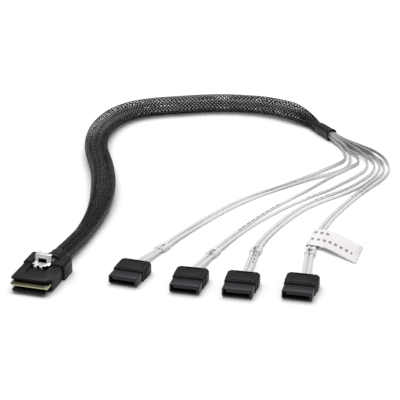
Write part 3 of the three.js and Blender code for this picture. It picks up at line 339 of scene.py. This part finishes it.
class Finish:
    """A material with one Principled shader, and a way to add nodes in front of it."""

    def __init__(self, name, color, roughness, metallic=0.0, **fixed):
        self.material = bpy.data.materials.new(name)
        self.material.use_nodes = True
        self.nodes = self.material.node_tree.nodes
        self.links = self.material.node_tree.links
        self.shader = self.nodes["Principled BSDF"]
        self.shader.inputs["Base Color"].default_value = (*color, 1)
        self.shader.inputs["Roughness"].default_value = roughness
        self.shader.inputs["Metallic"].default_value = metallic
        self.material.diffuse_color = (*color, 1)
        for key, value in fixed.items():
            self.shader.inputs[key.replace("_", " ")].default_value = value

    def put(self, socket, value):
        if isinstance(value, Socket):
            self.links.new(value.socket, socket)
        elif value is not None:
            socket.default_value = value

    def node(self, kind, settings, *values, out=0, **named):
        """A node: its settings first, then its sockets in order or by name."""
        made = self.nodes.new(kind)
        for key, value in settings.items():
            setattr(made, key, value)
        for socket, value in zip(made.inputs, values):
            self.put(socket, value)
        for key, value in named.items():
            self.put(made.inputs[key.replace("_", " ")], value)
        return Socket(self, made.outputs[out])

    def feed(self, name, value):
        self.put(self.shader.inputs[name], value)

    def object_place(self):
        return self.node("ShaderNodeTexCoord", {}, out="Object")

    def noise(self, scale, detail, place=None):
        return self.node("ShaderNodeTexNoise", {}, place or self.object_place(),
                         Scale=scale, Detail=detail, out="Fac")

    def mix(self, factor, low, high):
        """A mix of two colours. The five sockets between are for numbers and vectors."""
        between_them = [None] * 5
        return self.node("ShaderNodeMix", {"data_type": "RGBA"}, factor, *between_them, low, high,
                         out=2)

    def bump(self, height, distance, strength):
        self.feed("Normal", self.node("ShaderNodeBump", {}, Strength=strength,
                                      Distance=distance, Height=height, out="Normal"))


def leg_roll(distance):
    share = (np.asarray(distance) - STAND_FOR) / (FLAT_FROM - STAND_FOR)
    return 1.5 * math.pi - smooth(share) * math.pi / 2


def half_reach(roll):
    return (abs(math.cos(roll)) * RIBBON_THICK + abs(math.sin(roll)) * RIBBON_WIDTH) / 2


def ribbon_line(layer, row, leg, plug):
    """Ring centres and rolls of a ribbon from inside the mini SAS plug to its receptacle."""
    inside = Stations(0, TRUNK_LENGTH, TRUNK_RING_STEP)
    pitch = RIBBON_THICK + RIBBON_GAP + SPREAD_FACES * inside.slack
    rise = RIBBON_WIDTH + ROW_GAP + SPREAD_EDGES * inside.slack
    flip = inside.turn - math.pi
    u, v = (layer - 1.5) * pitch, (row - 0.5) * rise
    across = u * np.cos(flip) - v * np.sin(flip)
    high = u * np.sin(flip) + v * np.cos(flip)
    within = inside.point + inside.left * across[:, None] + inside.up * high[:, None]
    points, distance, last = [within[-1 - MOUTH_RINGS], within[-1]], 0.0, within[-1][:2]
    for x, y, lift in leg:
        distance += math.hypot(x - last[0], y - last[1])
        last = (x, y)
        points.append(np.array((x, y, lift + half_reach(float(leg_roll(distance))))))
    x, y, turn, _ = plug
    turn, side = math.radians(turn), (-1, 1)[row] * SOCKET_PITCH / 2
    back = NOSE_LENGTH + FIT + OVER_LENGTH
    for reach in (back + SOCKET_LEAD, back, back - SOCKET_DEPTH + FIT):
        points.append(np.array((x + side * math.cos(turn) - reach * math.sin(turn),
                                y + side * math.sin(turn) + reach * math.cos(turn), SOCKET_Z)))
    gaps = [np.linalg.norm(b - a) for a, b in zip(points, points[1:])]
    counts = [max(1, round(gap / RIBBON_RING_STEP)) for gap in gaps]
    outside = curve_through(points, counts)[counts[0] + 1:]
    far = lengths_along(np.vstack([within[-1:], outside]))[1:]
    line = np.vstack([within, outside])
    roll = np.concatenate([inside.turn + math.pi / 2, leg_roll(far)])
    return line, roll


def ribbon_section():
    """Two round wires side by side under a film that dips between them."""
    radius, centre = RIBBON_THICK / 2, RIBBON_WIDTH / 2 - RIBBON_THICK / 2
    dips = [(0.26, 0.93), (0, 0.8), (-0.26, 0.93)]
    turns = np.radians(np.linspace(-90, 90, 9))
    right = [(centre + radius * math.cos(a), radius * math.sin(a)) for a in turns]
    top = [(x, radius * share) for x, share in dips]
    left = [(-x, -y) for x, y in right]
    return np.array(right + top + left + [(-x, -y) for x, y in top])


def sweep(line, roll, section):
    left, up = axes_for(tangents_of(line))
    c, s = np.cos(roll)[:, None], np.sin(roll)[:, None]
    across = section[:, 0] * c - section[:, 1] * s
    high = section[:, 0] * s + section[:, 1] * c
    return line[:, None] + left[:, None] * across[..., None] + up[:, None] * high[..., None]


def along_uv(along, sides):
    """Corner places for ring_faces: round the section, and along it in millimetres."""
    uv = []
    for near, far in zip(along, along[1:]):
        for side in range(sides):
            a, b = side / sides, (side + 1) / sides
            uv.append([(a, near), (b, near), (b, far), (a, far)])
    return uv + [[(0, along[0])] * sides, [(0, along[-1])] * sides]


SILVER = (0.84, 0.84, 0.86)
# Painted shade: the darker grey given to the ribbons where they stand on edge
STANDING_SHADE = (0.42, 0.42, 0.43)
silver = Finish("ribbon_silver_film", SILVER, 0.34, 0.2, Coat_Weight=0.2)
place = silver.node("ShaderNodeUVMap", {"uv_map": "along"})
parts = silver.node("ShaderNodeSeparateXYZ", {}, place)
around, lengthwise = parts, parts.output("Y")
wrap = silver.noise(0.35, 3.0, place)
silver.feed("Roughness", 0.24 + 0.16 * wrap)
# Printed marks: short bars of unequal length on one face
face = abs(around - MARK_MIDDLE) < MARK_HALF_HEIGHT
ragged = silver.noise(0.9, 1.0, place)
bar = ((lengthwise + MARK_RAG * ragged) % MARK_PITCH) < MARK_LENGTH
group = lengthwise > 0
# Painted shade: the film is mixed towards the darker grey by a per-point share on the standing
# stretch
shade_share = silver.node("ShaderNodeAttribute", {"attribute_name": "shade_share"}, out="Fac")
bare = silver.mix(shade_share, (*SILVER, 1), (*STANDING_SHADE, 1))
silver.feed("Base Color", silver.mix(face * bar * group * MARK_SHARE, bare, MARK_COLOR))
silver.bump(wrap, 0.00005, 0.4)

ribbon_lines = {}
section = ribbon_section()
for layer, leg in enumerate(LEGS):
    for row, letter in enumerate("ab"):
        name = f"ribbon_{layer + 1}_{letter}"
        line, roll = ribbon_line(layer, row, leg[row], PLUGS[layer])
        ribbon_lines[name] = line
        along = lengths_along(line)
        rings = sweep(line, roll, section)
        start, length = MARKS.get(name, (0, 0))
        past = along[-1] - along - start
        past = np.where(past > length, past - UNPRINTED, past)
        ribbon = mesh_piece(f"silver_{name}", rings.reshape(-1, 3),
                            ring_faces(len(rings), len(section)), silver.material,
                            along_uv(past, len(section)))
        # Painted shade mask along each ribbon: full on the standing stretch, easing to none on
        # either side
        fan_end = TRUNK_LENGTH + FAN_SHADE_REACH + FAN_SHADE_LAYER_STEP * layer
        fan = (smooth((along - TRUNK_LENGTH + FAN_SHADE_LEAD) / FAN_SHADE_FADE_IN)
               * smooth((fan_end - along) / FAN_SHADE_FADE_OUT))
        shade_attribute = ribbon.data.attributes.new("shade_share", "FLOAT", "POINT")
        shade_attribute.data.foreach_set("value", np.repeat(fan, len(section)))
        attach(ribbon, "cable")
        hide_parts(name)


# Braided sleeve: two sets of flat black monofilament bands that cross two over, two
# under. It is slack in the middle and drawn tight where it is gripped at each end.
BANDS = 16
BAND_SLOPE = 0.178
BAND_STEP = 0.5
# How far along, and how wide a band is there at most
BAND_WIDTHS = np.array([(0, 1.05), (130, 1.0), (175, 0.6), (305, 0.6), (330, 1.0)])
BAND_THICK = 0.14
BAND_LIFT = 0.075
BAND_DEPTH = -0.15
BAND_FILL = 0.85
STREAK_STEP = 7
SLEEVE_START = 0.3
SLEEVE_END = 336

braid = Finish("braid_black_monofilament", (0.004, 0.004, 0.0048), 0.34,
               Specular_IOR_Level=0.24)
place = braid.node("ShaderNodeUVMap", {"uv_map": "along"})
braid.feed("Roughness", 0.24 + 0.25 * braid.noise(1.7, 2.0, place))


def braid_bands(name, hand):
    """All bands of one hand: hand is 1 for those that climb to the left, -1 for the rest."""
    stations = Stations(SLEEVE_START, SLEEVE_END, BAND_STEP)
    spin = stations.along * BAND_SLOPE
    crossing = BANDS * spin / math.pi
    girth = (stations.half_width + stations.half_height) / 2 + BAND_DEPTH
    slope = np.arctan(girth * BAND_SLOPE)
    room = 2 * math.pi * girth / BANDS * np.cos(slope)
    width = np.minimum(between(BAND_WIDTHS, stations.along, 1), BAND_FILL * room)
    points, faces, uv = [], [], []
    for band in range(BANDS):
        angle = 2 * math.pi * band / BANDS + hand * spin
        phase = crossing + 2 * band if hand > 0 else 2 * band - crossing
        lift = hand * BAND_LIFT * np.cos(math.pi / 2 * phase - math.pi / 4)
        middle = stations.surface(angle, BAND_DEPTH + lift)
        out = stations.surface(angle, 1.0) - stations.surface(angle, 0.0)
        out /= np.linalg.norm(out, axis=1)[:, None]
        forward = tangents_of(middle)
        side = np.cross(forward, out)
        side /= np.linalg.norm(side, axis=1)[:, None]
        out = np.cross(side, forward)
        half = (width / 2)[:, None]
        ring = np.stack([middle + side * half, middle + out * BAND_THICK / 2,
                         middle - side * half, middle - out * BAND_THICK / 2], 1)
        base = len(points) * 4 * len(stations.along)
        points.append(ring.reshape(-1, 3))
        faces += ring_faces(len(stations.along), 4, base)
        uv += along_uv(stations.along + STREAK_STEP * band, 4)
    return mesh_piece(name, np.vstack(points), faces, braid.material, uv)


left_bands = braid_bands("sleeve_bands_left", 1)
right_bands = braid_bands("sleeve_bands_right", -1)
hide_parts("braided_sleeve")
for piece in (left_bands, right_bands):
    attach(piece, "cable")
sleeve_line = Stations(SLEEVE_START, SLEEVE_END, BAND_STEP).point


# Shrink tubes: smooth black polyolefin, one drawn over the sleeve inside the plug's rear
# and one over its far end, where the ribbons come out.
REAR_WALL = 0.35
FRONT_WALL = 0.45
TUBE_SIDES = 40
REAR_TUBE_START = 333
REAR_FLARE = 0.35
FRONT_BAND_START = 0.2
FRONT_BAND_END = 19.2
TUBE_RING_STEP = 0.8
TUBE_INSIDE = 0.05
TUBE_LIP = 0.12
NEAR_LIP_RATE = 12
FAR_LIP_START = 0.93
FAR_LIP_RATE = 14

shrink = Finish("shrink_black", (0.005, 0.005, 0.006), 0.4, Specular_IOR_Level=0.3)
shrink.bump(shrink.noise(900, 2.0), 0.00006, 0.5)
shrink.feed("Roughness", 0.34 + 0.18 * shrink.noise(300, 1.0))


def tube_along(name, start, end, wall, flare):
    """A tube over the sleeve, thinned at both lips, that opens out over its last quarter."""
    stations = Stations(start, end, TUBE_RING_STEP)
    count = len(stations.along)
    share = (stations.along - start) / (end - start)
    open_out = flare * np.clip(share * 4 - 3, 0, 1)
    taper = (-TUBE_LIP * (1 - smooth(share * NEAR_LIP_RATE))
             - TUBE_LIP * smooth((share - FAR_LIP_START) * FAR_LIP_RATE))
    angles = [np.full(count, 2 * math.pi * (k + 0.5) / TUBE_SIDES) for k in range(TUBE_SIDES)]
    points = np.vstack([
        np.stack([stations.surface(angle, grow) for angle in angles], 1).reshape(-1, 3)
        for grow in (wall + open_out + taper, TUBE_INSIDE + open_out)])
    outer = ring_faces(count, TUBE_SIDES, 0, ends=False)
    inner = [tuple(reversed(f)) for f in ring_faces(count, TUBE_SIDES, count * TUBE_SIDES, False)]
    lips = []
    for first, second, flip in ((0, count * TUBE_SIDES, True),
                                ((count - 1) * TUBE_SIDES, (2 * count - 1) * TUBE_SIDES, False)):
        for side in range(TUBE_SIDES):
            right = (side + 1) % TUBE_SIDES
            face = (first + side, first + right, second + right, second + side)
            lips.append(tuple(reversed(face)) if flip else face)
    piece = mesh_piece(name, points, outer + inner + lips, shrink.material)
    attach(piece, "cable")
    return piece


rear_tube = tube_along("rear_shrink", REAR_TUBE_START, TRUNK_LENGTH, REAR_WALL, REAR_FLARE)
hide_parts("rear_shrink_tube")
front_band = tube_along("front_shrink", FRONT_BAND_START, FRONT_BAND_END - TRUNK[0][1],
                        FRONT_WALL, 0.0)
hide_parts("front_shrink_band")


# Moulded shells of the mini SAS plug: glass-filled black nylon, two halves snapped
# together, with small radii on every edge.
SHELL_EDGE = 0.12
WELD = 2e-6
FLAT_ANGLE = 1
EDGE_ANGLE = 25
SHADE_ANGLE = 40


def softened(name, node, width, material, body="cable", segments=2):
    """A copy of a node's shape with its flat faces made whole and its edges rounded."""
    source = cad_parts[node]
    mesh = bmesh.new()
    mesh.from_mesh(source.data)
    bmesh.ops.remove_doubles(mesh, verts=mesh.verts, dist=WELD)
    bmesh.ops.dissolve_limit(mesh, angle_limit=math.radians(FLAT_ANGLE), verts=mesh.verts,
                             edges=mesh.edges)
    sharp = [edge for edge in mesh.edges if len(edge.link_faces) == 2
             and edge.calc_face_angle(0) > math.radians(EDGE_ANGLE)]
    bmesh.ops.bevel(mesh, geom=sharp, offset=width * MM, segments=segments, profile=0.5,
                    affect="EDGES", clamp_overlap=True)
    data = bpy.data.meshes.new(name)
    mesh.to_mesh(data)
    mesh.free()
    data.materials.append(material)
    data.polygons.foreach_set("use_smooth", [True] * len(data.polygons))
    data.set_sharp_from_angle(angle=math.radians(SHADE_ANGLE))
    piece = bpy.data.objects.new(name, data)
    bpy.context.scene.collection.objects.link(piece)
    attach(piece, body)
    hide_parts(node)
    return piece


nylon = Finish("plug_black_nylon", (0.0045, 0.0045, 0.0065), 0.42, Specular_IOR_Level=0.2)
nylon.bump(nylon.noise(2600, 3.0), 0.00002, 0.6)
nylon.feed("Roughness", 0.36 + 0.16 * nylon.noise(500, 2.0))
softened("lower_shell", "plug_lower_shell", SHELL_EDGE, nylon.material)
softened("upper_shell", "plug_upper_shell", SHELL_EDGE, nylon.material)


# Paddle card: dark green lacquered board with pale laminate edges, gilt contact pads on
# both faces, and the dull resin behind it that holds the soldered ends of the wires.
CARD_FACES = (3.3, 4.3)
PAD_COUNT = 18
PAD_PITCH = 0.8
PAD_BLOCK = (0.52, 3.42, 0.07)
PAD_MIDDLE = -10.2
# The card's edges: faces that look sideways, and are larger than the bevels
EDGE_TILT = 0.6
EDGE_AREA = 5e-8


def row_of_blocks(name, count, pitch, size, place, material):
    """Small blocks on a line of points along the place's X axis, centred on its origin."""
    tree = bpy.data.node_groups.new(name, "GeometryNodeTree")
    inputs = {"Count": ("NodeSocketInt", count), "Pitch": ("NodeSocketFloat", pitch * MM),
              "Block": ("NodeSocketVector", [c * MM for c in size])}
    keys = {}
    for label, (kind, _) in inputs.items():
        keys[label] = tree.interface.new_socket(label, in_out="INPUT", socket_type=kind)
    tree.interface.new_socket("Geometry", in_out="OUTPUT", socket_type="NodeSocketGeometry")
    nodes, link = tree.nodes, tree.links.new
    given, result = nodes.new("NodeGroupInput"), nodes.new("NodeGroupOutput")
    step = nodes.new("ShaderNodeCombineXYZ")
    line = nodes.new("GeometryNodeMeshLine")
    cube = nodes.new("GeometryNodeMeshCube")
    put = nodes.new("GeometryNodeInstanceOnPoints")
    real = nodes.new("GeometryNodeRealizeInstances")
    paint = nodes.new("GeometryNodeSetMaterial")
    paint.inputs["Material"].default_value = material
    link(given.outputs["Pitch"], step.inputs["X"])
    link(given.outputs["Count"], line.inputs["Count"])
    link(step.outputs[0], line.inputs["Offset"])
    link(given.outputs["Block"], cube.inputs["Size"])
    link(line.outputs["Mesh"], put.inputs["Points"])
    link(cube.outputs["Mesh"], put.inputs["Instance"])
    link(put.outputs["Instances"], real.inputs["Geometry"])
    link(real.outputs["Geometry"], paint.inputs["Geometry"])
    link(paint.outputs["Geometry"], result.inputs["Geometry"])
    maker = bpy.data.objects.new(name + "_maker", bpy.data.meshes.new(name + "_maker"))
    bpy.context.scene.collection.objects.link(maker)
    modifier = maker.modifiers.new("row", "NODES")
    modifier.node_group = tree
    for label, (_, value) in inputs.items():
        modifier[keys[label].identifier] = value
    bpy.context.view_layer.update()
    made = maker.evaluated_get(bpy.context.evaluated_depsgraph_get())
    data = bpy.data.meshes.new_from_object(made)
    bpy.data.objects.remove(maker)
    data.name = name
    data.transform(place @ Matrix.Translation(((1 - count) * pitch * MM / 2, 0, 0)))
    row = bpy.data.objects.new(name, data)
    bpy.context.scene.collection.objects.link(row)
    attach(row, "cable")


board = Finish("card_green_lacquer", (0.022, 0.032, 0.012), 0.3, Coat_Weight=0.4)
laminate = Finish("card_edge", (0.58, 0.56, 0.34), 0.45)
gilt = Finish("gilt", (0.85, 0.66, 0.3), 0.26, 1.0)
card = softened("card_board", "paddle_card", 0.02, board.material, segments=1)
card.data.materials.append(laminate.material)
for polygon in card.data.polygons:
    polygon.material_index = int(abs(polygon.normal.z) < EDGE_TILT and polygon.area > EDGE_AREA)
for name, height, side in (("lower", CARD_FACES[0], -1), ("upper", CARD_FACES[1], 1)):
    row_of_blocks(f"card_pads_{name}", PAD_COUNT, PAD_PITCH, PAD_BLOCK, Matrix.Translation(
        Vector((0, PAD_MIDDLE, height + side * PAD_BLOCK[2] / 2)) * MM), gilt.material)
resin = Finish("potting_resin", (0.014, 0.012, 0.01), 0.6)
softened("resin_block", "wire_block", 0.1, resin.material)


# Latch: one strip of stainless spring steel, stamped and folded, with a window in its
# upright and two hooks that catch the receptacle's cage.
steel = Finish("latch_steel", (0.95, 0.95, 0.93), 0.3, 0.75)
brushing = steel.node("ShaderNodeMapping", {}, steel.object_place(), Scale=(300, 6000, 6000))
lines = steel.noise(1.0, 2.0, brushing)
steel.feed("Roughness", 0.24 + 0.16 * lines)
steel.bump(lines, 0.00001, 0.3)
softened("latch_strip", "latch", 0.05, steel.material, body="latch")


# Receptacles: a nose with an L-shaped slot, seven gilt contacts on a black carrier inside
# it, and a black overmould that grips both ribbons.
CONTACTS = 7
CONTACT_PITCH = 1.27
CONTACT_BLOCK = (0.52, 6.0, 0.32)
CONTACT_MIDDLE = (-0.25, 4.2, 2.36)
nose_plastic = Finish("nose_charcoal", (0.012, 0.0115, 0.017), 0.38, Specular_IOR_Level=0.3)
nose_plastic.bump(nose_plastic.noise(2200, 3.0), 0.00002, 0.5)
over_plastic = Finish("overmould_black", (0.0045, 0.0045, 0.006), 0.5, Specular_IOR_Level=0.2)
over_plastic.bump(over_plastic.noise(1800, 3.0), 0.00003, 0.6)
for number, (x, y, turn, _) in enumerate(PLUGS, 1):
    softened(f"nose_{number}", f"receptacle_{number}_housing", 0.15, nose_plastic.material)
    softened(f"carrier_{number}", f"receptacle_{number}_contacts", 0.03, resin.material,
             segments=1)
    placed = (Matrix.Translation(Vector((x, y, 0)) * MM)
              @ Matrix.Rotation(math.radians(turn), 4, "Z")
              @ Matrix.Translation(Vector(CONTACT_MIDDLE) * MM))
    row_of_blocks(f"contacts_{number}", CONTACTS, CONTACT_PITCH, CONTACT_BLOCK, placed,
                  gilt.material)
    softened(f"overmould_{number}", f"receptacle_{number}_overmould", 0.3,
             over_plastic.material)


# Labels: clear film wrapped round each pair of ribbons with the leg's number on it, upside
# down to the receptacle, and a pale film flag on leg 4 with plain bars for its print.
LABEL_WALL = 0.25
DIGIT_SIZE = 6.4
DIGIT_NARROW = 0.82
DIGIT_THICK = 0.03
film = Finish("label_film", (0.95, 0.95, 0.95), 0.3, Alpha=0.5)
ink = Finish("label_ink", (0.02, 0.02, 0.022), 0.5)
for number, plug in enumerate(PLUGS, 1):
    softened(f"wrap_{number}", f"number_label_{number}", 0.05, film.material,
             segments=1)
    spots, ways = [], []
    for letter in "ab":
        line = ribbon_lines[f"ribbon_{number}_{letter}"]
        left_over = lengths_along(line)[-1] - lengths_along(line)
        at = int(np.argmin(abs(left_over - (SOCKET_DEPTH - FIT + plug[3]))))
        spots.append(line[at])
        ways.append(tangents_of(line)[at])
    way = Vector(sum(ways)).normalized()
    left, up = (Vector(axis[0]) for axis in axes_for(np.array([way])))
    top = Vector(sum(spots) / 2) + up * (RIBBON_THICK / 2 + FIT + LABEL_WALL)
    text = bpy.data.curves.new(f"digit_{number}", "FONT")
    text.body = str(number)
    text.size = DIGIT_SIZE
    text.extrude = DIGIT_THICK
    text.align_x, text.align_y = "CENTER", "CENTER"
    writer = bpy.data.objects.new(f"digit_{number}_maker", text)
    bpy.context.scene.collection.objects.link(writer)
    bpy.context.view_layer.update()
    made = writer.evaluated_get(bpy.context.evaluated_depsgraph_get())
    data = bpy.data.meshes.new_from_object(made)
    bpy.data.objects.remove(writer)
    turned = Matrix((-left, way, up)).transposed().to_4x4()
    data.transform(Matrix.Scale(MM, 4) @ Matrix.Translation(top) @ turned
                   @ Matrix.Diagonal((DIGIT_NARROW, 1, 1, 1)))
    data.materials.append(ink.material)
    digit = bpy.data.objects.new(f"digit_{number}", data)
    bpy.context.scene.collection.objects.link(digit)
    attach(digit, "cable")

FLAG_START = 67.5
FLAG_SLANT = 0.565
FLAG_TAIL_START = 110.45
FLAG_COLOR = (0.94, 0.91, 0.92, 1)
FLAG_INK = (0.06, 0.06, 0.065, 1)
FLAG_INK_SHARE = 0.75
# The plain bars: two rows, each with its middle across the flag and its end along it
ROW_START = 104.6
LONG_ROW = (6.6, 125.5)
SHORT_ROW = (14.2, 112)
BAR_HALF_HEIGHT = 1.2
BAR_PITCH = 2.9
BAR_LENGTH = 1.5
flag_film = Finish("flag_film", FLAG_COLOR[:3], 0.4, Alpha=0.85)
place = flag_film.node("ShaderNodeSeparateXYZ", {}, flag_film.object_place())
x = place * (1 / MM)
y = place.output("Y") * (1 / MM)
past = (x - FLAG_TAIL_START) * (x > FLAG_TAIL_START)
across = y + FLAG_SLANT * past - FLAG_START
long_row, short_row = (
    (abs(across - middle) < BAR_HALF_HEIGHT) * ((x % BAR_PITCH) < BAR_LENGTH)
    * (x > ROW_START) * (x < end) for middle, end in (LONG_ROW, SHORT_ROW))
flag_film.feed("Base Color", flag_film.mix((long_row + short_row) * FLAG_INK_SHARE,
                                           FLAG_COLOR, FLAG_INK))
softened("flag", "flag_label", 0.04, flag_film.material, segments=1)


# Floor and light: a white sweep under a large overhead softbox, in a pale grey room.
ROOM = 0.3
FLOOR_HALF = 6000
AIM = (40, 110, 0)
floor_finish = Finish("floor_pale", (0.95, 0.95, 0.95), 0.9, Specular_IOR_Level=0.0)
floor = mesh_piece("floor", [(-FLOOR_HALF, -FLOOR_HALF, 0), (FLOOR_HALF, -FLOOR_HALF, 0),
                             (FLOOR_HALF, FLOOR_HALF, 0), (-FLOOR_HALF, FLOOR_HALF, 0)],
                   [(0, 1, 2, 3)], floor_finish.material, smooth_faces=False)
world = bpy.data.worlds.new("studio")
bpy.context.scene.world = world
world.use_nodes = True
world.node_tree.nodes["Background"].inputs["Color"].default_value = (1, 1, 1, 1)
world.node_tree.nodes["Background"].inputs["Strength"].default_value = ROOM
for name, place, size, power in (
        ("overhead", (-150, 420, 1300), 1300, 19.0), ("front", (500, -900, 700), 900, 2.0)):
    light_data = bpy.data.lights.new(name, "AREA")
    light_data.size = size * MM
    light_data.energy = power
    light = bpy.data.objects.new(name, light_data)
    bpy.context.scene.collection.objects.link(light)
    light.location = [c * MM for c in place]
    aim = Vector([c * MM for c in AIM]) - light.location
    light.rotation_euler = aim.to_track_quat("-Z", "Y").to_euler()
bpy.context.scene.view_settings.view_transform = "Standard"
